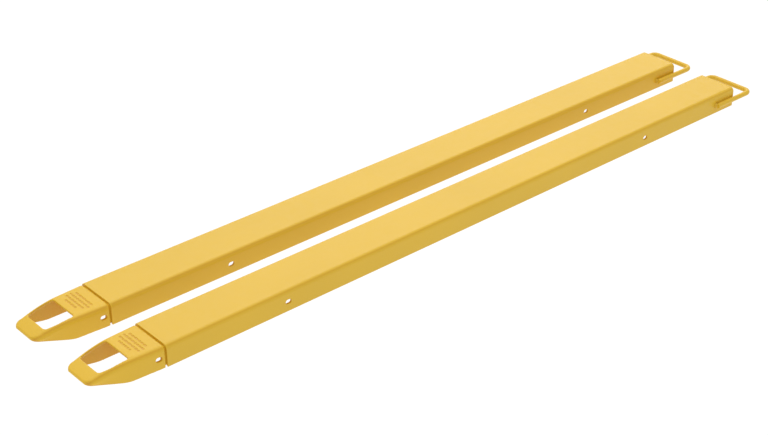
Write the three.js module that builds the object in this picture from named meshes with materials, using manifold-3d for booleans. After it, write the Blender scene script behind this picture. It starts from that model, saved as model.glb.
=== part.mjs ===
// A pair of slip-on forklift fork extensions, lying side by side at rest spacing.
// Millimetres. +Z is up, +Y runs from the tapered tips to the heel loops, +X to the left fork.
// The origin is at floor level, in the middle of the pair's outer box.
import * as THREE from 'three';
import { mergeVertices } from 'three/addons/utils/BufferGeometryUtils.js';
import Module from 'manifold-3d';

const wasm = await Module();
wasm.setup();

const CLEARANCE = 0.3; // gap kept between pieces that touch

// Sleeve: steel plate folded into an inverted channel, open below and at the heel.
const SLEEVE_WIDTH = 139.7;
const SLEEVE_HEIGHT = 63.5;
const SLEEVE_LENGTH = 2224.5;
const PLATE = 6.35;
const BEND_RADIUS = 12.7; // outside of the fold
const SLOT = { length: 19.05, height: 12.7 }; // every cross hole is a short slot along Y
const SLEEVE_SLOTS = [379, 1789]; // behind the sleeve's front end
const SLEEVE_SLOT_HEIGHT = 28.8;
const SPACING = 247.4; // between the two forks' centre lines, at rest

// Tip: hollow casting, open below. Its Y values are measured from the sleeve's front end.
const GROOVE = 5.6; // open groove between tip and sleeve
const NOSE_Y = -217;
const TIP_TOP = 61.8;
const TIP_HALF = { shoulder: 69, waist: 64.3, nose: 51.1 }; // half widths
const TIP_WAIST_Y = -101;
const TIP_EDGE_RADIUS = 14.6; // along the two long top edges
const SLOPE_START_Y = -83; // the top falls in a parabola from here
const SLOPE_CURVE = 0.0012; // fall per mm squared
const RISE_START_Y = -110; // the underside rises in a straight line from here
const NOSE_BOTTOM = 31.6;
const NOSE_DRAFT = 5; // how much narrower the sides stand at the bottom, at the nose
const NOSE_CORNER_RADIUS = { upper: 23, lower: 15 }; // in plan
const NOSE_EDGE_RADIUS = 3.6; // across the front edge
// The side walls are thickest at the rear; from the waist on they thin out towards the bottom.
const TIP_WALL = { top: 6.5, upper: 6.5, lower: 3.5, rear: 8.5, shoulder: 8, nose: 14 };
const TIP_SLOT = { y: -22, z: 30.5 };
// Half of the window's outline in plan, from the front to the rear: [half width, y].
const WINDOW_CORNERS = [[42.5, -178], [49.2, -147], [51.4, -97]];
const WINDOW_RADIUS = 9;

// Spigot: the back of the casting, which slides into the sleeve.
const SPIGOT_LENGTH = 60;
const SPIGOT_WALL = 6;
const SPIGOT_BOTTOM = 2.5;

// Heel loop: one round bar bent into a U and welded outside the sleeve's walls.
const BAR_RADIUS = 7.95;
const BAR_HEIGHT = 28.7;
const LEG_OVERLAP = 89; // length of each leg that lies along the sleeve
const CROSSBAR_SETBACK = 78; // crossbar axis behind the sleeve's end
const LOOP_BEND_RADIUS = 20;
const BAR_SIDES = 16;

// Weld beads.
const LEG_BEAD = { length: 75, endInset: 7, throat: 8.4, spread: 118 };
const TIP_BEAD_LEG = 5;

const HALF_WIDTH = SLEEVE_WIDTH / 2;
const HEEL_Y = SLEEVE_LENGTH + CROSSBAR_SETBACK + BAR_RADIUS;
const MIDDLE_Y = (HEEL_Y + NOSE_Y) / 2;
const TIP_REAR_Y = -GROOVE;
// The sleeve is opened out by the clearance over the spigot and its bead.
const RELIEF_LENGTH = SPIGOT_LENGTH + TIP_BEAD_LEG + 2 * CLEARANCE;
const BAR_X = HALF_WIDTH + CLEARANCE + BAR_RADIUS;
const ARC_STEPS = 6;
const LARGEST_ROUNDING = 0.6; // of a section's height, for its two top corners

const COLORS = { sleeve: 0xe8b93f, tip: 0xe9b83a, loop: 0xe4b238, bead: 0xd9a733 };

// ---- Closed solids -------------------------------------------------------------------

// Joins rings of points, all with the same count, into one closed body with capped ends.
function skin(rings) {
  const count = rings[0].length;
  const points = rings.flat();
  const faces = [];
  for (let r = 0; r + 1 < rings.length; r += 1) {
    for (let i = 0; i < count; i += 1) {
      const a = r * count + i;
      const b = r * count + ((i + 1) % count);
      faces.push(a, b + count, b, a, a + count, b + count);
    }
  }
  const last = (rings.length - 1) * count;
  for (let i = 1; i + 1 < count; i += 1) {
    faces.push(0, i, i + 1, last, last + i + 1, last + i);
  }
  const geometry = new THREE.BufferGeometry().setFromPoints(points);
  geometry.setIndex(faces);
  return geometry;
}

// Extrudes a shape drawn in X (across) and Z (up) along Y, between two Y values.
function extrudeAlongY(shape, fromY, toY) {
  const depth = toY - fromY;
  const options = { depth, bevelEnabled: false, curveSegments: ARC_STEPS };
  const geometry = new THREE.ExtrudeGeometry(shape, options);
  return geometry.rotateX(Math.PI / 2).translate(0, toY, 0);
}

function toSolid(geometry) {
  const bare = geometry.clone();
  bare.deleteAttribute('normal');
  bare.deleteAttribute('uv');
  const welded = mergeVertices(bare);
  const vertProperties = Float32Array.from(welded.attributes.position.array);
  const triVerts = Uint32Array.from(welded.index.array);
  return new wasm.Manifold(new wasm.Mesh({ numProp: 3, vertProperties, triVerts }));
}

function toGeometry(solid) {
  const mesh = solid.getMesh();
  const geometry = new THREE.BufferGeometry();
  geometry.setAttribute('position', new THREE.BufferAttribute(mesh.vertProperties, 3));
  geometry.setIndex(new THREE.BufferAttribute(mesh.triVerts, 1));
  return geometry;
}

function cut(geometry, ...tools) {
  return toGeometry(tools.reduce((solid, tool) => solid.subtract(toSolid(tool)), toSolid(geometry)));
}

// A tool that cuts one cross slot through both walls.
function crossSlot(y, z) {
  const radius = SLOT.height / 2;
  const reach = SLOT.length / 2 - radius;
  const shape = new THREE.Shape();
  shape.absarc(reach, 0, radius, -Math.PI / 2, Math.PI / 2);
  shape.absarc(-reach, 0, radius, Math.PI / 2, Math.PI * 1.5);
  const depth = SLEEVE_WIDTH * 1.2;
  const tool = new THREE.ExtrudeGeometry(shape, { depth, bevelEnabled: false, curveSegments: 12 });
  return tool.translate(0, 0, -depth / 2).rotateX(Math.PI / 2).rotateZ(Math.PI / 2)
    .translate(0, y, z);
}

// One arch-shaped cross section: straight sides, a flat top and two rounded top corners.
function arch({ y, upperHalf, lowerHalf, top, bottom, radius }) {
  const r = Math.min(radius, LARGEST_ROUNDING * (top - bottom), upperHalf / 2);
  const right = [new THREE.Vector3(lowerHalf, y, bottom)];
  for (let i = 0; i <= ARC_STEPS; i += 1) {
    const a = (i / ARC_STEPS) * (Math.PI / 2);
    right.push(new THREE.Vector3(upperHalf - r + r * Math.cos(a), y, top - r + r * Math.sin(a)));
  }
  const left = right.map((p) => new THREE.Vector3(-p.x, p.y, p.z)).reverse();
  return [...right, ...left];
}

// ---- Sleeve --------------------------------------------------------------------------

function archShape(halfWidth, top, radius, bottom) {
  const shape = new THREE.Shape();
  shape.moveTo(-halfWidth, bottom);
  shape.lineTo(-halfWidth, top - radius);
  shape.absarc(-halfWidth + radius, top - radius, radius, Math.PI, Math.PI / 2, true);
  shape.absarc(halfWidth - radius, top - radius, radius, Math.PI / 2, 0, true);
  shape.lineTo(halfWidth, bottom);
  return shape;
}

function sleeveGeometry() {
  const outside = archShape(HALF_WIDTH, SLEEVE_HEIGHT, BEND_RADIUS, 0);
  const innerHalf = HALF_WIDTH - PLATE;
  const innerTop = SLEEVE_HEIGHT - PLATE;
  const inside = archShape(innerHalf, innerTop, BEND_RADIUS - PLATE, -PLATE);
  const reliefHalf = innerHalf + CLEARANCE;
  const reliefTop = innerTop + CLEARANCE;
  const relief = archShape(reliefHalf, reliefTop, BEND_RADIUS - PLATE + CLEARANCE, -PLATE);
  const body = extrudeAlongY(outside, 0, SLEEVE_LENGTH);
  const hollow = extrudeAlongY(inside, -PLATE, SLEEVE_LENGTH + PLATE);
  const spigotRelief = extrudeAlongY(relief, -PLATE, RELIEF_LENGTH);
  const slots = SLEEVE_SLOTS.map((y) => crossSlot(y, SLEEVE_SLOT_HEIGHT));
  return cut(body, hollow, spigotRelief, ...slots);
}

// ---- Tip casting ---------------------------------------------------------------------

function mix(from, to, t) {
  return THREE.MathUtils.lerp(from, to, THREE.MathUtils.clamp(t, 0, 1));
}

// How far a rounded edge of this radius has pulled in, at a distance from the nose.
function rounding(radius, fromNose) {
  const missing = Math.max(0, radius - fromNose);
  return radius - Math.sqrt(radius * radius - missing * missing);
}

function tipHalfWidth(y) {
  if (y > TIP_WAIST_Y) {
    return mix(TIP_HALF.waist, TIP_HALF.shoulder, (y - TIP_WAIST_Y) / (TIP_REAR_Y - TIP_WAIST_Y));
  }
  return mix(TIP_HALF.nose, TIP_HALF.waist, (y - NOSE_Y) / (TIP_WAIST_Y - NOSE_Y));
}

function tipTop(y) {
  return TIP_TOP - SLOPE_CURVE * Math.max(0, SLOPE_START_Y - y) ** 2;
}

function tipBottom(y) {
  return mix(0, NOSE_BOTTOM, (RISE_START_Y - y) / (RISE_START_Y - NOSE_Y));
}

function tipDraft(y) {
  return mix(0, NOSE_DRAFT, (TIP_WAIST_Y - y) / (TIP_WAIST_Y - NOSE_Y));
}

function tipOuterSection(y) {
  const fromNose = y - NOSE_Y;
  const half = tipHalfWidth(y);
  const edge = rounding(NOSE_EDGE_RADIUS, fromNose);
  return arch({
    y,
    upperHalf: half - rounding(NOSE_CORNER_RADIUS.upper, fromNose),
    lowerHalf: half - rounding(NOSE_CORNER_RADIUS.lower, fromNose) - tipDraft(y),
    top: tipTop(y) - edge,
    bottom: tipBottom(y) + edge,
    radius: TIP_EDGE_RADIUS,
  });
}

function sideWall(thin, y) {
  return mix(TIP_WALL.rear, thin, (TIP_REAR_Y - y) / (TIP_REAR_Y - TIP_WAIST_Y));
}

function tipCavitySection(y) {
  return arch({
    y,
    upperHalf: tipHalfWidth(y) - sideWall(TIP_WALL.upper, y),
    lowerHalf: tipHalfWidth(y) - tipDraft(y) - sideWall(TIP_WALL.lower, y),
    top: tipTop(y) - TIP_WALL.top,
    bottom: -TIP_WALL.top,
    radius: TIP_EDGE_RADIUS - TIP_WALL.top,
  });
}

// Stations along Y, closer together where the nose rounds over.
function tipStations() {
  const rounded = [];
  for (let i = 0; i < ARC_STEPS; i += 1) {
    rounded.push(NOSE_CORNER_RADIUS.upper * (1 - Math.cos((i / ARC_STEPS) * (Math.PI / 2))));
  }
  const nose = rounded.map((d) => NOSE_Y + d);
  const sloped = [];
  const slopeSteps = 10;
  const slopeFrom = NOSE_Y + NOSE_CORNER_RADIUS.upper;
  for (let i = 0; i <= slopeSteps; i += 1) {
    sloped.push(THREE.MathUtils.lerp(slopeFrom, SLOPE_START_Y, i / slopeSteps));
  }
  return [...nose, ...sloped, TIP_WAIST_Y, RISE_START_Y, TIP_REAR_Y].sort((a, b) => a - b);
}

// A tool that cuts the window, with rounded corners.
function windowTool() {
  const rightSide = WINDOW_CORNERS.map(([x, y]) => new THREE.Vector2(x, y));
  const leftSide = WINDOW_CORNERS.map(([x, y]) => new THREE.Vector2(-x, y)).reverse();
  const corners = [...rightSide, ...leftSide];
  const shape = new THREE.Shape();
  corners.forEach((corner, i) => {
    const before = corners[(i + corners.length - 1) % corners.length];
    const after = corners[(i + 1) % corners.length];
    const enter = corner.clone().lerp(before, WINDOW_RADIUS / corner.distanceTo(before));
    const leave = corner.clone().lerp(after, WINDOW_RADIUS / corner.distanceTo(after));
    if (i === 0) shape.moveTo(enter.x, enter.y);
    else shape.lineTo(enter.x, enter.y);
    shape.quadraticCurveTo(corner.x, corner.y, leave.x, leave.y);
  });
  shape.closePath();
  const depth = SLEEVE_HEIGHT * 1.5;
  return new THREE.ExtrudeGeometry(shape, { depth, bevelEnabled: false, curveSegments: 5 });
}

function spigotSection(y, inset, bottom) {
  const half = HALF_WIDTH - PLATE - inset;
  const top = SLEEVE_HEIGHT - PLATE - inset;
  const radius = Math.max(1, BEND_RADIUS - PLATE - inset);
  return arch({ y, upperHalf: half, lowerHalf: half, top, bottom, radius });
}

function tipGeometry() {
  const stations = tipStations();
  const shoulderFront = TIP_REAR_Y - TIP_WALL.shoulder;
  const cavityStations = stations.filter((y) => y > NOSE_Y + TIP_WALL.nose && y < shoulderFront);
  const outside = skin(stations.map(tipOuterSection));
  const cavity = skin([...cavityStations, shoulderFront].map(tipCavitySection));
  const overlap = TIP_WALL.shoulder / 2;
  const spigotEnds = [TIP_REAR_Y - overlap, SPIGOT_LENGTH];
  const boreEnds = [shoulderFront - overlap, SPIGOT_LENGTH + overlap];
  const spigot = skin(spigotEnds.map((y) => spigotSection(y, 0, SPIGOT_BOTTOM)));
  const bore = skin(boreEnds.map((y) => spigotSection(y, SPIGOT_WALL, -PLATE)));
  const joined = toGeometry(toSolid(outside).add(toSolid(spigot)));
  return cut(joined, cavity, bore, windowTool(), crossSlot(TIP_SLOT.y, TIP_SLOT.z));
}

// ---- Heel loop -----------------------------------------------------------------------

// Ring of the round bar where its axis passes (x, y), heading at an angle from +Y to -X.
function barRing(x, y, heading) {
  const ring = [];
  for (let i = 0; i < BAR_SIDES; i += 1) {
    const a = (i / BAR_SIDES) * Math.PI * 2;
    const across = BAR_RADIUS * Math.cos(a);
    const up = BAR_RADIUS * Math.sin(a);
    const px = x + across * Math.cos(heading);
    const py = y + across * Math.sin(heading);
    ring.push(new THREE.Vector3(px, py, BAR_HEIGHT + up));
  }
  return ring;
}

function loopGeometry() {
  const frontY = SLEEVE_LENGTH - LEG_OVERLAP;
  const cornerX = BAR_X - LOOP_BEND_RADIUS;
  const cornerY = SLEEVE_LENGTH + CROSSBAR_SETBACK - LOOP_BEND_RADIUS;
  const rings = [barRing(BAR_X, frontY, 0)];
  for (const side of [1, -1]) {
    for (let i = 0; i <= ARC_STEPS; i += 1) {
      const turned = (i / ARC_STEPS) * (Math.PI / 2);
      const heading = side > 0 ? turned : Math.PI / 2 + turned;
      const x = side * cornerX + LOOP_BEND_RADIUS * Math.cos(heading);
      rings.push(barRing(x, cornerY + LOOP_BEND_RADIUS * Math.sin(heading), heading));
    }
  }
  rings.push(barRing(-BAR_X, frontY, Math.PI));
  return skin(rings);
}

// ---- Weld beads ----------------------------------------------------------------------

// Fillet in the crease between a leg and the sleeve wall; sense is 1 above, -1 below.
function legBeadGeometry(side, sense) {
  const wallX = HALF_WIDTH + CLEARANCE;
  const hug = BAR_RADIUS + CLEARANCE;
  const crease = Math.acos((wallX - BAR_X) / hug);
  const edge = THREE.MathUtils.degToRad(LEG_BEAD.spread);
  const outline = [];
  for (let i = 0; i <= ARC_STEPS; i += 1) {
    const a = THREE.MathUtils.lerp(crease, edge, i / ARC_STEPS);
    outline.push(new THREE.Vector2(BAR_X + hug * Math.cos(a), hug * Math.sin(a)));
  }
  outline.push(new THREE.Vector2(wallX, LEG_BEAD.throat));
  const placed = outline.map((p) => new THREE.Vector2(side * p.x, BAR_HEIGHT + sense * p.y));
  const toY = SLEEVE_LENGTH - LEG_BEAD.endInset;
  return extrudeAlongY(new THREE.Shape(placed), toY - LEG_BEAD.length, toY);
}

// Fillet round the end of the spigot, inside the sleeve.
function tipBeadGeometry() {
  const fromY = SPIGOT_LENGTH + CLEARANCE;
  const toY = fromY + TIP_BEAD_LEG;
  const feather = 1; // thickness left at the bead's thin edge
  const outer = skin([fromY, toY].map((y) => spigotSection(y, 0, SPIGOT_BOTTOM)));
  const inner = skin([
    spigotSection(fromY - feather, TIP_BEAD_LEG, -PLATE),
    spigotSection(toY + feather, feather, -PLATE),
  ]);
  return cut(outer, inner);
}

// ---- Assembly ------------------------------------------------------------------------

function addPiece(group, name, geometry, color, roughness) {
  const material = new THREE.MeshStandardMaterial({ color, roughness, metalness: 0 });
  const mesh = new THREE.Mesh(geometry, material);
  mesh.name = name;
  group.add(mesh);
}

function makeExtension(prefix, centreX) {
  const unit = new THREE.Group();
  addPiece(unit, `${prefix}_sleeve`, sleeveGeometry(), COLORS.sleeve, 0.45);
  addPiece(unit, `${prefix}_tip_casting`, tipGeometry(), COLORS.tip, 0.5);
  addPiece(unit, `${prefix}_tip_weld`, tipBeadGeometry(), COLORS.bead, 0.6);
  addPiece(unit, `${prefix}_heel_loop`, loopGeometry(), COLORS.loop, 0.45);
  for (const [where, side] of [['plus_x', 1], ['minus_x', -1]]) {
    for (const [level, sense] of [['upper', 1], ['lower', -1]]) {
      const bead = legBeadGeometry(side, sense);
      addPiece(unit, `${prefix}_loop_weld_${where}_${level}`, bead, COLORS.bead, 0.6);
    }
  }
  unit.position.set(centreX, -MIDDLE_Y, 0);
  return unit;
}

const pair = new THREE.Group();
pair.add(makeExtension('left', SPACING / 2));
pair.add(makeExtension('right', -SPACING / 2));

export default pair;
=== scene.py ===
"""Looks for a pair of slip-on forklift fork extensions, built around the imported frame.

Lengths are in metres. Each unit is drawn in its own frame: X from the sleeve's centre plane,
Y from the sleeve's front end (the tip is at negative Y), Z from the floor.
"""

import math
import random

import bmesh
import bpy
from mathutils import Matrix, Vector


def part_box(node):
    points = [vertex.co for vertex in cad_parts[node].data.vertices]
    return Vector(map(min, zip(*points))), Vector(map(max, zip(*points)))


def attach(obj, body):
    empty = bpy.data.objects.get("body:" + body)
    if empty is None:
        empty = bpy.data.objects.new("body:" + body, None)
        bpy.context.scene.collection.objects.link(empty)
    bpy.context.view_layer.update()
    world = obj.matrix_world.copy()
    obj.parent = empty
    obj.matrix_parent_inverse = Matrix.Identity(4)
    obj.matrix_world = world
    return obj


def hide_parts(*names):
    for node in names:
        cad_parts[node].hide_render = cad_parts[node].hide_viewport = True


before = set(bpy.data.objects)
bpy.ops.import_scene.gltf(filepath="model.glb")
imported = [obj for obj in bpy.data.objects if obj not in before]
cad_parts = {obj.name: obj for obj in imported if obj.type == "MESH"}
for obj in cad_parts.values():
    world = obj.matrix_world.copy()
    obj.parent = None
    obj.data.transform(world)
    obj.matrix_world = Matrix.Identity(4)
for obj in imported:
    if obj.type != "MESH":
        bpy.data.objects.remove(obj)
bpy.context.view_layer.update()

MM = 0.001

# Sleeve: plate folded into an inverted channel.
PLATE = 6.35 * MM
BEND_RADIUS = 12.7 * MM
SHEAR_RADIUS = 1.3 * MM  # softened edges of the cut plate
END_RADIUS = 0.7 * SHEAR_RADIUS  # softened edges of the sleeve's two ends
SLOT_LENGTH = 19.05 * MM
SLOT_HEIGHT = 12.7 * MM
SLOT_CHAMFER = 0.5 * MM
SLEEVE_SLOTS = (379 * MM, 1789 * MM)
SLEEVE_SLOT_HEIGHT = 28.8 * MM

# Tip casting.
GROOVE = 5.6 * MM
TIP_TOP = 61.8 * MM
TIP_HALF = {"shoulder": 69 * MM, "waist": 64.3 * MM, "nose": 51.1 * MM}
TIP_WAIST_Y = -101 * MM
TIP_EDGE_RADIUS = 14.6 * MM
SLOPE_START_Y = -83 * MM
SLOPE_CURVE = 1.2  # fall of the top, per metre squared
RISE_START_Y = -110 * MM
NOSE_BOTTOM = 31.6 * MM
NOSE_DRAFT = 5 * MM  # how much narrower the sides stand at the bottom, at the nose
NOSE_CORNER_UPPER = 23 * MM
NOSE_CORNER_LOWER = 15 * MM
NOSE_EDGE_RADIUS = 3.6 * MM
KINK_BLEND = 7 * MM  # how softly the sides and the underside change direction
LARGEST_ROUNDING = 0.6  # of a section's height, for its two top corners
WALL_TOP = 6.5 * MM
WALL_UPPER = 6.5 * MM
WALL_LOWER = 3.5 * MM
WALL_REAR = 8.5 * MM
WALL_SHOULDER = 8 * MM
WALL_NOSE = 14 * MM
TIP_SLOT = (-22 * MM, 30.5 * MM)  # (y, z)
# Half of the window's outline in plan, from the front to the rear: (half width, y).
WINDOW_CORNERS = ((42.5 * MM, -178 * MM), (49.2 * MM, -147 * MM), (51.4 * MM, -97 * MM))
WINDOW_RADIUS = 9 * MM
SPIGOT_LENGTH = 60 * MM
SPIGOT_WALL = 6 * MM
SPIGOT_BOTTOM = 2.5 * MM
SPIGOT_GAP = 0.2 * MM  # between the spigot and the inside of the sleeve
CAST_VOXEL = 1.0 * MM
CAST_RELAX = 18  # smoothing steps, which round the edges
CAST_RELAX_SHARE = 0.5  # of the way to its neighbours that a point moves in each step

# Rows of plain dashes sunk into the top of the tip: (y, reach to each side).
DASH_ROWS = ((-36.6 * MM, 39 * MM), (-49.1 * MM, 45 * MM), (-62 * MM, 44 * MM), (-74.5 * MM, 28 * MM))
DASH_HEIGHT = 6.2 * MM
DASH_LENGTHS = (6 * MM, 15 * MM)
DASH_GAP = 1.6 * MM
DASH_DEPTH = 1.1 * MM
DASH_EDGE = 1.6 * MM  # width of the slope round a dash
DASH_MARGIN = 2 * MM  # refined surface beyond the dashes' ends
DASH_CUTS = 2  # how often each edge of that surface is divided
TOP_DEPTH = 3 * MM  # what lies no deeper than this under the tip's top belongs to it
TOP_FACING = 0.8  # least upward part of the normals there

# Heel loop and weld beads.
BAR_RADIUS = 7.95 * MM
BAR_HEIGHT = 28.7 * MM
LOOP_BEND_RADIUS = 20 * MM
BAR_CHAMFER = 0.8 * MM
BEAD_RIPPLE = 2.7 * MM  # length of one ripple
BEAD_BOW = 0.55  # how far a ripple's middle leads its ends, in ripples
BEAD_SIZES = (0.86, 1.1)  # spread of the ripples' heights
BEAD_CROWN = 0.10  # rise above the line between the toes, over the bead's width
BEAD_RIDGE = 0.10  # what a ripple of full height adds to that
BEAD_RIDGE_POWER = 0.7  # under 1, so ripples have broad tops and narrow valleys
BEAD_RUN_OUT = 4 * MM  # length over which a bead thins out at each end
BEAD_END_SIZE = 0.12  # of its full size, at the very end
TIP_BEAD_LEG = 5 * MM
TIP_BEAD_FULLNESS = 0.92
UPPER_BEAD_FULLNESS = 0.55  # the upper beads are lean, so the crease stays deep
BAR_TOE_HEIGHT = 0.72  # of the height of the toe on the wall
END_BEAD_LEG = 7 * MM  # length along the wall, in front of the leg's cut end
END_BEAD_REACH = 8.5 * MM  # above and below the bar's axis

# Paint, darkened by painted shade inside the pieces and in their recesses.
YELLOW = (0.75, 0.47, 0.028)
CAST_YELLOW = (0.765, 0.475, 0.026)
BEAD_YELLOW = (0.73, 0.45, 0.028)
PAINT_IOR = 1.42
NOISE_SPAN = (0.3, 0.7)  # where nearly all of a noise texture's values lie
FILM_TONES = (0.965, 1.03)  # thin and thick film, against the paint's colour
DRIFT_SCALE = 3.0  # broad changes in film thickness, per metre
DRIFT_SHARE = 0.7
SPECKLE_SCALE = 1400.0
SPECKLE_SHARE = 0.3
GLOSS_SCALE = 45.0
GLOSS_SPREAD = (-0.04, 0.05)
PIT_SCALE = 0.35  # of the orange peel's scale
# Painted shade: how far under the skin the darkening starts, the distance over which it reaches full,
# and the darker tone it reaches.
PAINTED_SHADE_START = 1.2 * MM
PAINTED_SHADE_FADE = 3.5 * MM
PAINTED_SHADE_TONE = (0.88, 0.76, 0.70)

# Steps in the curves, and the angles in degrees over which an edge is crisp.
EDGE_STEPS = 4
BEND_STEPS = 16
INNER_BEND_STEPS = 12
SLOT_STEPS = 20
TIP_EDGE_STEPS = 14
NOSE_STEPS = 14
NOSE_TURN = 1.5  # radians of the nose's rounding, just short of a right angle
NOSE_STEP = 2 * MM  # from that rounding to the rest of the tip
TIP_STEPS = 60
CAVITY_STEPS = 50
WINDOW_STEPS = 10
LOOP_BEND_STEPS = 20
BAR_SIDES = 40
BEAD_ARC = 12
BEAD_STEP = 0.5 * MM
CRISP_PLATE = 35
CRISP_CAST = 80
CRISP_BAR = 40
CRISP_BEAD = 50
RAMP_LIMIT = 30  # blends past its bend, where a soft ramp is straight to the last digit

# Floor, light and camera.
FLOOR_REACH = 40.0
FLOOR_DROP = 0.3 * MM  # keeps the floor from touching the pieces' lower edges
FLOOR_TONE = 0.05
FLOOR_GLOW = 1.0
FLOOR_ROUGHNESS = 0.9
WORLD_STRENGTH = 0.68
KEY_LIGHT = {"location": (-2.6, 0.8, 8.0), "size": 9.0, "power": 333}
BACK_LIGHT = {"location": (-7.1, 6.8, 4.9), "size": 8.5, "power": 230}
CAMERA_PLACE = (2.9169, -2.7394, 2.2486)
CAMERA_HEADING = math.radians(48.608)  # azimuth, from +Y towards -X
CAMERA_DROP = math.radians(29.975)
CAMERA_LENS = 73.6  # mm
CAMERA_SENSOR = 36  # mm


# ---- Small helpers -------------------------------------------------------------------


def mix(a, b, t):
    t = min(1.0, max(0.0, t))
    return a + (b - a) * t


def steps_between(start, end, count):
    return [start + (end - start) * i / count for i in range(count + 1)]


def soft_ramp(x, blend):
    """max(0, x) with a smooth start."""
    if x > RAMP_LIMIT * blend:
        return x
    return blend * math.log1p(math.exp(x / blend))


def arc(cx, cz, radius, start, end, steps):
    """Points of an arc in X and Z; the angles are in degrees."""
    points = []
    for i in range(steps + 1):
        a = math.radians(start + (end - start) * i / steps)
        points.append((cx + radius * math.cos(a), cz + radius * math.sin(a)))
    return points


def new_object(name, verts, faces):
    mesh = bpy.data.meshes.new(name)
    mesh.from_pydata([tuple(v) for v in verts], [], faces)
    mesh.validate()
    obj = bpy.data.objects.new(name, mesh)
    bpy.context.scene.collection.objects.link(obj)
    return obj


def loft(name, rings):
    """A closed body through rings of the same number of points, with flat ends."""
    count = len(rings[0])
    verts = [p for ring in rings for p in ring]
    faces = []
    for r in range(len(rings) - 1):
        for i in range(count):
            j = (i + 1) % count
            a, b = r * count, (r + 1) * count
            faces.append((a + i, a + j, b + j, b + i))
    last = (len(rings) - 1) * count
    faces.append(tuple(reversed(range(count))))
    faces.append(tuple(range(last, last + count)))
    obj = new_object(name, verts, faces)
    bm = bmesh.new()
    bm.from_mesh(obj.data)
    bmesh.ops.recalc_face_normals(bm, faces=bm.faces)
    bm.to_mesh(obj.data)
    bm.free()
    return obj


def inset(outline, distance):
    """A closed outline in X and Z, moved inwards by a distance."""
    moved = []
    count = len(outline)
    area = sum(
        outline[i][0] * outline[(i + 1) % count][1] - outline[(i + 1) % count][0] * outline[i][1]
        for i in range(count)
    )
    sense = 1 if area > 0 else -1
    for i in range(count):
        here = Vector(outline[i])
        before = (here - Vector(outline[i - 1])).normalized()
        after = (Vector(outline[(i + 1) % count]) - here).normalized()
        normal = Vector((-(before.y + after.y), before.x + after.x)).normalized() * sense
        moved.append(tuple(here + normal * distance))
    return moved


def rounded_ends(outline, y0, y1, radius):
    """Rings of an extrusion along Y whose two end faces have rounded edges."""
    rings = []
    for a in steps_between(0, math.pi / 2, EDGE_STEPS):
        rings.append((radius * (1 - math.cos(a)), radius * (1 - math.sin(a))))
    plain = 10 * radius  # one more ring, which keeps the shading behind the edge flat
    rings.append((plain, 0))
    front = [[(x, y0 + t, z) for x, z in inset(outline, d)] for t, d in rings]
    back = [[(x, y1 - t, z) for x, z in inset(outline, d)] for t, d in reversed(rings)]
    return front + back


def apply_modifiers(obj):
    """Replaces the object's mesh with the result of its modifiers."""
    depsgraph = bpy.context.evaluated_depsgraph_get()
    result = bpy.data.meshes.new_from_object(obj.evaluated_get(depsgraph))
    obj.modifiers.clear()
    old = obj.data
    obj.data = result
    bpy.data.meshes.remove(old)


def cut(obj, cutters, operation="DIFFERENCE"):
    """Cuts the cutters out of an object, or with UNION adds them to it, and removes them."""
    for cutter in cutters:
        boolean = obj.modifiers.new("cut", "BOOLEAN")
        boolean.operation = operation
        boolean.solver = "EXACT"
        boolean.object = cutter
    apply_modifiers(obj)
    for cutter in cutters:
        bpy.data.objects.remove(cutter)


def shade(obj, sharp_angle):
    """Smooth shading with crisp edges where faces meet at more than an angle."""
    mesh = obj.data
    mesh.polygons.foreach_set("use_smooth", [True] * len(mesh.polygons))
    mesh.set_sharp_from_angle(angle=math.radians(sharp_angle))
    weighted = obj.modifiers.new("weighted normals", "WEIGHTED_NORMAL")
    weighted.keep_sharp = True
    weighted.weight = 100


def join(obj, other):
    """Adds the other object's mesh to obj's, and removes the other."""
    bm = bmesh.new()
    bm.from_mesh(obj.data)
    bm.from_mesh(other.data)
    bm.to_mesh(obj.data)
    bm.free()
    bpy.data.objects.remove(other)


def mark_painted_shade(obj, depth_under_skin, pressed=None):
    """Stores how much painted shade each point gets, from 0 on the outside to 1 far inside or in a
    dash.
    """
    attribute = obj.data.attributes.new("painted_shade", "FLOAT", "POINT")
    values = []
    for i, vertex in enumerate(obj.data.vertices):
        inside = mix(0, 1, (depth_under_skin(vertex.co) - PAINTED_SHADE_START) / PAINTED_SHADE_FADE)
        values.append(max(inside, pressed[i] if pressed else 0.0))
    attribute.data.foreach_set("value", values)


def place(obj, origin):
    """Moves a piece's points from its unit's frame to the row frame."""
    for vertex in obj.data.vertices:
        vertex.co += origin


# ---- Materials -----------------------------------------------------------------------


def noise(tree, scale, detail, rough=0.5):
    """Noise in the model's own coordinates; the scale is in features per metre."""
    coordinates = tree.nodes.new("ShaderNodeTexCoord")
    texture = tree.nodes.new("ShaderNodeTexNoise")
    texture.inputs["Scale"].default_value = scale
    texture.inputs["Detail"].default_value = detail
    texture.inputs["Roughness"].default_value = rough
    tree.links.new(coordinates.outputs["Object"], texture.inputs["Vector"])
    return texture.outputs["Fac"]


def spread(tree, value, low, high):
    """Stretches a noise's usual span to the one given."""
    node = tree.nodes.new("ShaderNodeMapRange")
    node.inputs["From Min"].default_value, node.inputs["From Max"].default_value = NOISE_SPAN
    node.inputs["To Min"].default_value = low
    node.inputs["To Max"].default_value = high
    tree.links.new(value, node.inputs["Value"])
    return node.outputs["Result"]


def calculate(tree, operation, a, b):
    """A maths node between two values, each a socket or a number."""
    node = tree.nodes.new("ShaderNodeMath")
    node.operation = operation
    for socket, value in zip(node.inputs, (a, b)):
        if isinstance(value, float):
            socket.default_value = value
        else:
            tree.links.new(value, socket)
    return node.outputs["Value"]


def tinted(color, factors):
    return (*(c * k for c, k in zip(color, factors)), 1)


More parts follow.
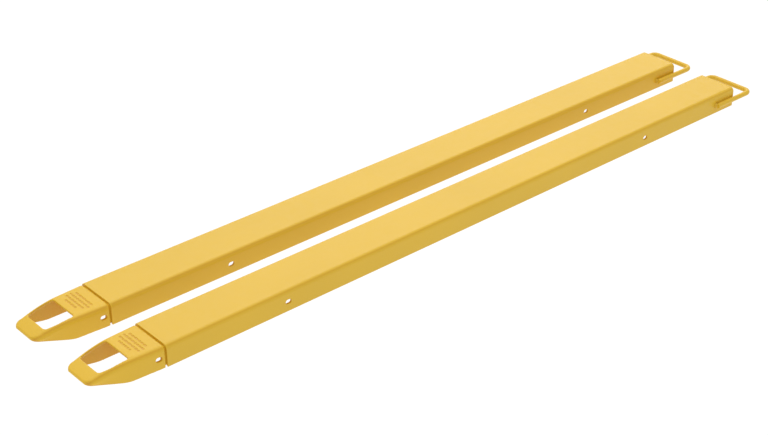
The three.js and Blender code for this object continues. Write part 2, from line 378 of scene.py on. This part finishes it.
def paint_tone(tree, color):
    """Broad drift in film thickness, fine speckle in the pigment, and painted shade inside the pieces
    and in their recesses.
    """
    drift = spread(tree, noise(tree, DRIFT_SCALE, 2.0), 0.0, 1.0)
    speckle = spread(tree, noise(tree, SPECKLE_SCALE, 1.0), 0.0, 1.0)
    drift = calculate(tree, "MULTIPLY", drift, DRIFT_SHARE)
    speckle = calculate(tree, "MULTIPLY", speckle, SPECKLE_SHARE)
    film = tree.nodes.new("ShaderNodeMix")
    film.data_type = "RGBA"
    for socket, tone in zip(("A", "B"), FILM_TONES):
        film.inputs[socket].default_value = tinted(color, [tone] * 3)
    tree.links.new(calculate(tree, "ADD", drift, speckle), film.inputs["Factor"])
    # Painted shade: this attribute darkens the paint inside the pieces and in the dashes.
    painted_shade = tree.nodes.new("ShaderNodeAttribute")
    painted_shade.attribute_name = "painted_shade"
    painted_shade_mix = tree.nodes.new("ShaderNodeMix")
    painted_shade_mix.data_type = "RGBA"
    painted_shade_mix.inputs["B"].default_value = tinted(color, PAINTED_SHADE_TONE)
    tree.links.new(painted_shade.outputs["Fac"], painted_shade_mix.inputs["Factor"])
    tree.links.new(film.outputs["Result"], painted_shade_mix.inputs["A"])
    return painted_shade_mix.outputs["Result"]


def paint_relief(tree, peel_scale, peel_depth, pit_depth):
    """Orange peel over everything, with coarser pits on cast pieces; depths are in metres."""
    peel = noise(tree, peel_scale, 1.5, 0.4)
    height = calculate(tree, "MULTIPLY", peel, peel_depth)
    if pit_depth:
        pits = noise(tree, peel_scale * PIT_SCALE, 5.0, 0.65)
        height = calculate(tree, "ADD", height, calculate(tree, "MULTIPLY", pits, pit_depth))
    bump = tree.nodes.new("ShaderNodeBump")
    bump.inputs["Strength"].default_value = 1.0
    bump.inputs["Distance"].default_value = 1.0
    tree.links.new(height, bump.inputs["Height"])
    return bump.outputs["Normal"]


def powder_coat(name, color, roughness, peel_scale, peel_depth, pit_depth=0.0):
    """Satin powder coat on plate, bar, bead or casting."""
    material = bpy.data.materials.new(name)
    material.use_nodes = True
    tree = material.node_tree
    tree.nodes.clear()
    output = tree.nodes.new("ShaderNodeOutputMaterial")
    shader = tree.nodes.new("ShaderNodeBsdfPrincipled")
    shader.inputs["IOR"].default_value = PAINT_IOR
    low, high = (roughness + change for change in GLOSS_SPREAD)
    gloss = spread(tree, noise(tree, GLOSS_SCALE, 3.0, 0.6), low, high)
    relief = paint_relief(tree, peel_scale, peel_depth, pit_depth)
    tree.links.new(paint_tone(tree, color), shader.inputs["Base Color"])
    tree.links.new(gloss, shader.inputs["Roughness"])
    tree.links.new(relief, shader.inputs["Normal"])
    tree.links.new(shader.outputs["BSDF"], output.inputs["Surface"])
    return material


PAINT = {
    "sleeve_paint": powder_coat(
        "sleeve_paint", YELLOW, roughness=0.42, peel_scale=520.0, peel_depth=0.06 * MM
    ),
    "casting_paint": powder_coat(
        "casting_paint", CAST_YELLOW, roughness=0.44, peel_scale=430.0, peel_depth=0.07 * MM,
        pit_depth=0.22 * MM,
    ),
    "bar_paint": powder_coat(
        "bar_paint", YELLOW, roughness=0.40, peel_scale=560.0, peel_depth=0.05 * MM
    ),
    "bead_paint": powder_coat(
        "bead_paint", BEAD_YELLOW, roughness=0.44, peel_scale=640.0, peel_depth=0.06 * MM
    ),
}


# ---- Sleeve --------------------------------------------------------------------------


def channel_outline(half, height):
    """The folded plate's cross section, with softened lower edges."""
    r, s = BEND_RADIUS, SHEAR_RADIUS
    inner_half, inner_top, inner_r = half - PLATE, height - PLATE, BEND_RADIUS - PLATE
    outer = arc(half - s, s, s, -90, 0, EDGE_STEPS)
    outer += arc(half - r, height - r, r, 0, 90, BEND_STEPS)
    inner = arc(inner_half + s, s, s, 270, 180, EDGE_STEPS)
    inner += arc(inner_half - inner_r, inner_top - inner_r, inner_r, 0, 90, INNER_BEND_STEPS)
    over = outer + [(-x, z) for x, z in reversed(outer)]
    return over + [(-x, z) for x, z in inner] + list(reversed(inner))


def slot_ring(x, y, z, grow):
    """A slot's outline on a wall, widened all round."""
    radius = SLOT_HEIGHT / 2 + grow
    reach = (SLOT_LENGTH - SLOT_HEIGHT) / 2
    outline = arc(reach, 0, radius, -90, 90, SLOT_STEPS)
    outline += arc(-reach, 0, radius, 90, 270, SLOT_STEPS)
    return [(x, y + along, z + up) for along, up in outline]


def wall_cutter(y, z, outer, inner, side):
    """A cutter for one slot through one wall, flared where it meets the wall's two faces."""
    flare = SLOT_CHAMFER
    over = 2 * flare
    profile = (
        (outer + over, flare + over),
        (outer - flare, 0),
        (inner + flare, 0),
        (inner - over, flare + over),
    )
    return loft("cutter", [slot_ring(side * x, y, z, grow) for x, grow in profile])


def make_sleeve(name, half, height, length):
    obj = loft(name, rounded_ends(channel_outline(half, height), 0, length, END_RADIUS))
    cutters = [
        wall_cutter(y, SLEEVE_SLOT_HEIGHT, half, half - PLATE, side)
        for y in SLEEVE_SLOTS
        for side in (1, -1)
    ]
    cut(obj, cutters)
    # Painted shade inside the sleeve's channel and near its ends.
    mark_painted_shade(obj, lambda p: min(half - abs(p.x), height - p.z, p.y, length - p.y))
    shade(obj, CRISP_PLATE)
    return obj


# ---- Tip casting ---------------------------------------------------------------------


def rounding(radius, from_nose):
    """How far a rounded edge has pulled in, at a distance behind the nose."""
    missing = max(0.0, radius - from_nose)
    return radius - math.sqrt(radius * radius - missing * missing)


def tip_half(y, nose_y):
    """Half the tip's width, which narrows faster in front of the waist."""
    rear_slope = (TIP_HALF["shoulder"] - TIP_HALF["waist"]) / (-GROOVE - TIP_WAIST_Y)
    front_slope = (TIP_HALF["waist"] - TIP_HALF["nose"]) / (TIP_WAIST_Y - nose_y)
    beyond = soft_ramp(TIP_WAIST_Y - y, KINK_BLEND)
    straight = TIP_HALF["shoulder"] - rear_slope * (-GROOVE - y)
    return straight - (front_slope - rear_slope) * beyond


def tip_top(y):
    return TIP_TOP - SLOPE_CURVE * max(0.0, SLOPE_START_Y - y) ** 2


def tip_bottom(y, nose_y):
    slope = NOSE_BOTTOM / (RISE_START_Y - nose_y)
    return slope * soft_ramp(RISE_START_Y - y, KINK_BLEND)


def tip_draft(y, nose_y):
    return mix(0, NOSE_DRAFT, (TIP_WAIST_Y - y) / (TIP_WAIST_Y - nose_y))


def arch(y, upper, lower, top, bottom, radius):
    """A section with straight sides, a flat top and two rounded top corners."""
    r = min(radius, LARGEST_ROUNDING * (top - bottom), upper / 2)
    right = [(lower, bottom)] + arc(upper - r, top - r, r, 0, 90, TIP_EDGE_STEPS)
    left = [(-x, z) for x, z in reversed(right)]
    return [(x, y, z) for x, z in right + left]


def tip_outer_ring(y, nose_y):
    half = tip_half(y, nose_y)
    upper = half - rounding(NOSE_CORNER_UPPER, y - nose_y)
    lower = half - rounding(NOSE_CORNER_LOWER, y - nose_y) - tip_draft(y, nose_y)
    edge = rounding(NOSE_EDGE_RADIUS, y - nose_y)
    top, bottom = tip_top(y) - edge, tip_bottom(y, nose_y) + edge
    return arch(y, upper, lower, top, bottom, TIP_EDGE_RADIUS)


def side_wall(thin, y):
    return mix(WALL_REAR, thin, (-GROOVE - y) / (-GROOVE - TIP_WAIST_Y))


def tip_cavity_ring(y, nose_y):
    half = tip_half(y, nose_y)
    upper = half - side_wall(WALL_UPPER, y)
    lower = half - tip_draft(y, nose_y) - side_wall(WALL_LOWER, y)
    radius = TIP_EDGE_RADIUS - WALL_TOP
    return arch(y, upper, lower, tip_top(y) - WALL_TOP, -WALL_TOP, radius)


def spigot_ring(y, half, height, inward, bottom):
    radius = max(1 * MM, BEND_RADIUS - PLATE - inward)
    side, top = half - PLATE - inward, height - PLATE - inward
    return arch(y, side, side, top, bottom, radius)


def window_cutter():
    """A cutter for the window, which widens to the rear and has rounded corners."""
    right = [Vector(corner) for corner in WINDOW_CORNERS]
    corners = right + [Vector((-c.x, c.y)) for c in reversed(right)]
    outline = []
    for i, corner in enumerate(corners):
        before = (corners[i - 1] - corner).normalized() * WINDOW_RADIUS
        after = (corners[(i + 1) % len(corners)] - corner).normalized() * WINDOW_RADIUS
        for t in steps_between(0, 1, WINDOW_STEPS):
            outline.append(corner + before * (1 - t) ** 2 + after * t**2)
    below, above = -TIP_TOP, 2 * TIP_TOP
    return loft("window", [[(p.x, p.y, z) for p in outline] for z in (below, above)])


def dash_spans(rng):
    """Row by row, the dashes' places: (centre x, centre y, half length)."""
    spans = []
    for y, reach in DASH_ROWS:
        x = -reach
        while x < reach - DASH_LENGTHS[0]:
            length = min(rng.uniform(*DASH_LENGTHS), reach - x)
            spans.append((x + length / 2, y, length / 2))
            x += length + DASH_GAP
    return spans


def sink_dashes(obj, rng):
    """Refines the top of the tip and presses the dashes into it."""
    spans = dash_spans(rng)
    reach = max(r for _, r in DASH_ROWS) + DASH_MARGIN
    low = min(y for y, _ in DASH_ROWS) - DASH_HEIGHT
    high = max(y for y, _ in DASH_ROWS) + DASH_HEIGHT
    bm = bmesh.new()
    bm.from_mesh(obj.data)
    chosen = set()
    for face in bm.faces:
        c = face.calc_center_median()
        on_top = face.normal.z > TOP_FACING and c.z > TIP_TOP - TOP_DEPTH
        if on_top and abs(c.x) < reach and low < c.y < high:
            chosen.update(face.edges)
    bmesh.ops.subdivide_edges(bm, edges=list(chosen), cuts=DASH_CUTS, use_grid_fill=True)
    bm.verts.ensure_lookup_table()
    pressed = [0.0] * len(bm.verts)
    for i, vertex in enumerate(bm.verts):
        x, y, z = vertex.co
        if z < TIP_TOP - TOP_DEPTH or not low < y < high:
            continue
        for cx, cy, half in spans:
            dx = max(0.0, abs(x - cx) - (half - DASH_HEIGHT / 2))
            away = math.hypot(dx, y - cy) - DASH_HEIGHT / 2
            if away < DASH_EDGE / 2:
                t = mix(0, 1, 0.5 - away / DASH_EDGE)
                pressed[i] = t * t * (3 - 2 * t)
                vertex.co.z -= DASH_DEPTH * pressed[i]
                break
    bm.to_mesh(obj.data)
    bm.free()
    return pressed


def round_cast_edges(obj):
    """A casting has no knife edges: remeshing and relaxing rounds every one of them."""
    remesh = obj.modifiers.new("cast skin", "REMESH")
    remesh.mode = "VOXEL"
    remesh.voxel_size = CAST_VOXEL
    relax = obj.modifiers.new("relax", "SMOOTH")
    relax.factor = CAST_RELAX_SHARE
    relax.iterations = CAST_RELAX
    apply_modifiers(obj)


def make_tip(name, half, height, nose_y, rng):
    shoulder_front = -GROOVE - WALL_SHOULDER
    overlap = WALL_SHOULDER / 2
    turns = steps_between(0, NOSE_TURN, NOSE_STEPS)
    nose = [nose_y + NOSE_CORNER_UPPER * (1 - math.cos(a)) for a in turns]
    body = steps_between(nose[-1] + NOSE_STEP, -GROOVE, TIP_STEPS)
    obj = loft(name, [tip_outer_ring(y, nose_y) for y in nose + body])
    spigot_y = (-GROOVE - overlap, SPIGOT_LENGTH)
    spigot_rings = [spigot_ring(y, half, height, SPIGOT_GAP, SPIGOT_BOTTOM) for y in spigot_y]
    cut(obj, [loft("spigot", spigot_rings)], "UNION")
    cavity_y = steps_between(nose_y + WALL_NOSE, shoulder_front, CAVITY_STEPS)
    cavity = loft("cavity", [tip_cavity_ring(y, nose_y) for y in cavity_y])
    bore_y = (shoulder_front - overlap, SPIGOT_LENGTH + overlap)
    bore = loft("bore", [spigot_ring(y, half, height, SPIGOT_WALL, -PLATE) for y in bore_y])
    slots = [wall_cutter(*TIP_SLOT, half, half - WALL_REAR, side) for side in (1, -1)]
    cut(obj, [cavity, bore, window_cutter(), *slots])
    round_cast_edges(obj)
    pressed = sink_dashes(obj, rng)

    def depth(p):
        side, top = tip_half(p.y, nose_y) - abs(p.x), tip_top(p.y) - p.z
        return min(side, top, p.y - nose_y, -GROOVE - p.y)

    # Painted shade in the pressed dashes and inside the tip's cavity.
    mark_painted_shade(obj, depth, pressed)
    shade(obj, CRISP_CAST)
    return obj


# ---- Heel loop -----------------------------------------------------------------------


def bar_ring(x, y, heading, radius):
    """A ring of the round bar about (x, y); the heading turns from +Y towards -X."""
    ring = []
    for across, up in arc(0, 0, radius, 0, 360, BAR_SIDES)[:-1]:
        px = x + across * math.cos(heading)
        py = y + across * math.sin(heading)
        ring.append((px, py, BAR_HEIGHT + up))
    return ring


def make_loop(name, bar_x, front_y, crossbar_y):
    """One round bar: a leg, a bend, the crossbar, a bend and a leg, with chamfered cut ends."""
    c = BAR_CHAMFER
    knee = (c * 0.4, BAR_RADIUS - c * 0.35)  # bows the chamfer outwards a little
    ends = ((0, BAR_RADIUS - c), knee, (c, BAR_RADIUS))
    rings = [bar_ring(bar_x, front_y + t, 0, r) for t, r in ends]
    corner_x, corner_y = bar_x - LOOP_BEND_RADIUS, crossbar_y - LOOP_BEND_RADIUS
    for side in (1, -1):
        for turned in steps_between(0, math.pi / 2, LOOP_BEND_STEPS):
            heading = turned if side > 0 else math.pi / 2 + turned
            x = side * corner_x + LOOP_BEND_RADIUS * math.cos(heading)
            y = corner_y + LOOP_BEND_RADIUS * math.sin(heading)
            rings.append(bar_ring(x, y, heading, BAR_RADIUS))
    rings += [bar_ring(-bar_x, front_y + t, math.pi, r) for t, r in reversed(ends)]
    obj = loft(name, rings)
    shade(obj, CRISP_BAR)
    return obj


# ---- Weld beads ----------------------------------------------------------------------


def bead(name, stations, rng):
    """A rippled fillet. A station is (distance along, root, toe on one side, toe on the other)."""
    total = stations[-1][0]
    phase = rng.random()
    sizes = [rng.uniform(*BEAD_SIZES) for _ in range(int(total / BEAD_RIPPLE) + 3)]
    rings = []
    for along, root, toe_a, toe_b in stations:
        middle = (toe_a + toe_b) / 2
        outward = (middle - root).normalized()
        from_end = min(1.0, min(along, total - along) / BEAD_RUN_OUT)
        scale = mix(BEAD_END_SIZE, 1.0, math.sqrt(max(0.0, 1 - (1 - from_end) ** 2)))
        ring = [root.copy()]
        for i in range(BEAD_ARC + 1):
            u = i / BEAD_ARC
            crown = math.sin(math.pi * u)
            ripple = along / BEAD_RIPPLE + phase + BEAD_BOW * crown
            ridge = abs(math.sin(math.pi * ripple)) ** BEAD_RIDGE_POWER * sizes[int(ripple)]
            lift = (toe_b - toe_a).length * (BEAD_CROWN + BEAD_RIDGE * ridge) * crown
            surface = toe_a.lerp(toe_b, u) + outward * lift
            ring.append(root + (surface - root) * scale)
        rings.append(ring)
    obj = loft(name, rings)
    shade(obj, CRISP_BEAD)
    return obj


def leg_bead_stations(low, high, side, sense, wall_x):
    """Along the crease between the wall and a leg. The toes come from the bead's CAD box."""
    fullness = UPPER_BEAD_FULLNESS if sense > 0 else 1.0
    height = (high.z - low.z) * fullness
    width = (high.x - low.x) * fullness
    base_z = low.z if sense > 0 else high.z
    wall_toe_x = wall_x * side
    root = Vector((wall_toe_x, 0, base_z))
    toe_wall = Vector((wall_toe_x, 0, base_z + sense * height))
    bar_toe_z = base_z + sense * height * BAR_TOE_HEIGHT
    toe_bar = Vector((wall_toe_x + side * width, 0, bar_toe_z))
    stations = []
    count = round((high.y - low.y) / BEAD_STEP)
    for y in steps_between(low.y, high.y, count):
        shift = Vector((0, y, 0))
        stations.append((y - low.y, root + shift, toe_wall + shift, toe_bar + shift))
    return stations


def end_bead_stations(side, wall_x, bar_x, front_y):
    """Down the corner between the wall and a leg's cut end."""
    root = Vector((wall_x * side, front_y, 0))
    toe_wall = root - Vector((0, END_BEAD_LEG, 0))
    toe_bar = Vector((bar_x * side, front_y, 0))
    top, bottom = BAR_HEIGHT + END_BEAD_REACH, BAR_HEIGHT - END_BEAD_REACH
    stations = []
    for z in steps_between(top, bottom, round((top - bottom) / BEAD_STEP)):
        shift = Vector((0, 0, z))
        stations.append((top - z, root + shift, toe_wall + shift, toe_bar + shift))
    return stations


def eased_heading(headings, i, t):
    """The heading part of the way along segment i, eased towards the nearer neighbour's."""
    if t < 0.5 and i > 0:
        return headings[i].lerp(headings[i - 1], 0.5 - t)
    if t > 0.5 and i < len(headings) - 1:
        return headings[i].lerp(headings[i + 1], t - 0.5)
    return headings[i]


def tip_bead_stations(half, height):
    """Round the spigot's end, up one wall of the sleeve, across its top and down the other."""
    ring = spigot_ring(0, half, height, 0, SPIGOT_BOTTOM)
    path = [Vector((x, 0, z)) for x, _, z in ring]
    headings = [(end - start).normalized() for start, end in zip(path, path[1:])]
    leg = TIP_BEAD_LEG * TIP_BEAD_FULLNESS
    stations = []
    along = 0.0
    for i, (start, end) in enumerate(zip(path, path[1:])):
        length = (end - start).length
        count = max(1, round(length / BEAD_STEP))
        for step in range(count):
            t = step / count
            heading = eased_heading(headings, i, t)
            inward = Vector((-heading.z, 0, heading.x)).normalized()
            root = start.lerp(end, t) + Vector((0, SPIGOT_LENGTH, 0))
            toe_end = root + inward * leg
            toe_wall = root + Vector((0, leg, 0)) + inward * SPIGOT_GAP
            stations.append((along + length * t, root, toe_end, toe_wall))
        along += length
    return stations


# ---- The two units -------------------------------------------------------------------


def finish_piece(obj, node, body, slot, origin):
    place(obj, origin)
    obj.data.materials.clear()
    obj.data.materials.append(PAINT[slot])
    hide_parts(node)
    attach(obj, body)


def make_unit(prefix, body, rng):
    low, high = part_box(f"{prefix}_sleeve")
    origin = Vector(((low.x + high.x) / 2, low.y, 0))
    half, height, length = (high.x - low.x) / 2, high.z, high.y - low.y
    nose_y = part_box(f"{prefix}_tip_casting")[0].y - low.y
    loop_low, loop_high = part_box(f"{prefix}_heel_loop")
    bar_x = (loop_high.x - loop_low.x) / 2 - BAR_RADIUS
    leg_front, crossbar = loop_low.y - low.y, loop_high.y - low.y - BAR_RADIUS

    def done(obj, node, slot):
        finish_piece(obj, f"{prefix}_{node}", body, slot, origin)

    done(make_sleeve(f"{prefix}_sleeve_skin", half, height, length), "sleeve", "sleeve_paint")
    tip = make_tip(f"{prefix}_tip_skin", half, height, nose_y, rng)
    done(tip, "tip_casting", "casting_paint")
    loop = make_loop(f"{prefix}_loop_skin", bar_x, leg_front, crossbar)
    done(loop, "heel_loop", "bar_paint")
    tip_bead = bead(f"{prefix}_tip_bead", tip_bead_stations(half, height), rng)
    done(tip_bead, "tip_weld", "bead_paint")
    for where, side in (("plus_x", 1), ("minus_x", -1)):
        for level, sense in (("upper", 1), ("lower", -1)):
            node = f"loop_weld_{where}_{level}"
            bead_low, bead_high = (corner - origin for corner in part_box(f"{prefix}_{node}"))
            stations = leg_bead_stations(bead_low, bead_high, side, sense, half)
            leg_bead = bead(f"{prefix}_{node}_bead", stations, rng)
            if sense > 0:
                end = end_bead_stations(side, half, bar_x, leg_front)
                join(leg_bead, bead("end bead", end, rng))
            done(leg_bead, node, "bead_paint")


make_unit("left", "left_extension", random.Random(11))
make_unit("right", "right_extension", random.Random(23))


# ---- Floor, light and camera ---------------------------------------------------------


def make_floor():
    corners = ((-1, -1), (1, -1), (1, 1), (-1, 1))
    verts = [(x * FLOOR_REACH, y * FLOOR_REACH, -FLOOR_DROP) for x, y in corners]
    floor = new_object("floor", verts, [(0, 1, 2, 3)])
    material = bpy.data.materials.new("floor")
    material.use_nodes = True
    shader = material.node_tree.nodes["Principled BSDF"]
    shader.inputs["Base Color"].default_value = (FLOOR_TONE, FLOOR_TONE, FLOOR_TONE, 1)
    shader.inputs["Roughness"].default_value = FLOOR_ROUGHNESS
    shader.inputs["Specular IOR Level"].default_value = 0.0
    shader.inputs["Emission Color"].default_value = (1, 1, 1, 1)
    shader.inputs["Emission Strength"].default_value = FLOOR_GLOW
    floor.data.materials.append(material)


def make_light(name, location, size, power):
    """A large round light that faces the origin."""
    data = bpy.data.lights.new(name, "AREA")
    data.shape = "DISK"
    data.size = size
    data.energy = power
    light = bpy.data.objects.new(name, data)
    light.location = location
    light.rotation_euler = (-Vector(location)).to_track_quat("-Z", "Y").to_euler()
    bpy.context.scene.collection.objects.link(light)


def make_world():
    world = bpy.data.worlds.new("studio")
    world.use_nodes = True
    background = world.node_tree.nodes["Background"]
    background.inputs["Color"].default_value = (1, 1, 1, 1)
    background.inputs["Strength"].default_value = WORLD_STRENGTH
    bpy.context.scene.world = world
    bpy.context.scene.view_settings.view_transform = "Standard"


def make_camera():
    data = bpy.data.cameras.new("camera")
    data.lens = CAMERA_LENS
    data.sensor_width = CAMERA_SENSOR
    camera = bpy.data.objects.new("camera", data)
    camera.location = CAMERA_PLACE
    camera.rotation_euler = (math.pi / 2 - CAMERA_DROP, 0, CAMERA_HEADING)
    bpy.context.scene.collection.objects.link(camera)
    bpy.context.scene.camera = camera


make_floor()
make_light("key", **KEY_LIGHT)
make_light("back", **BACK_LIGHT)
make_world()
make_camera()
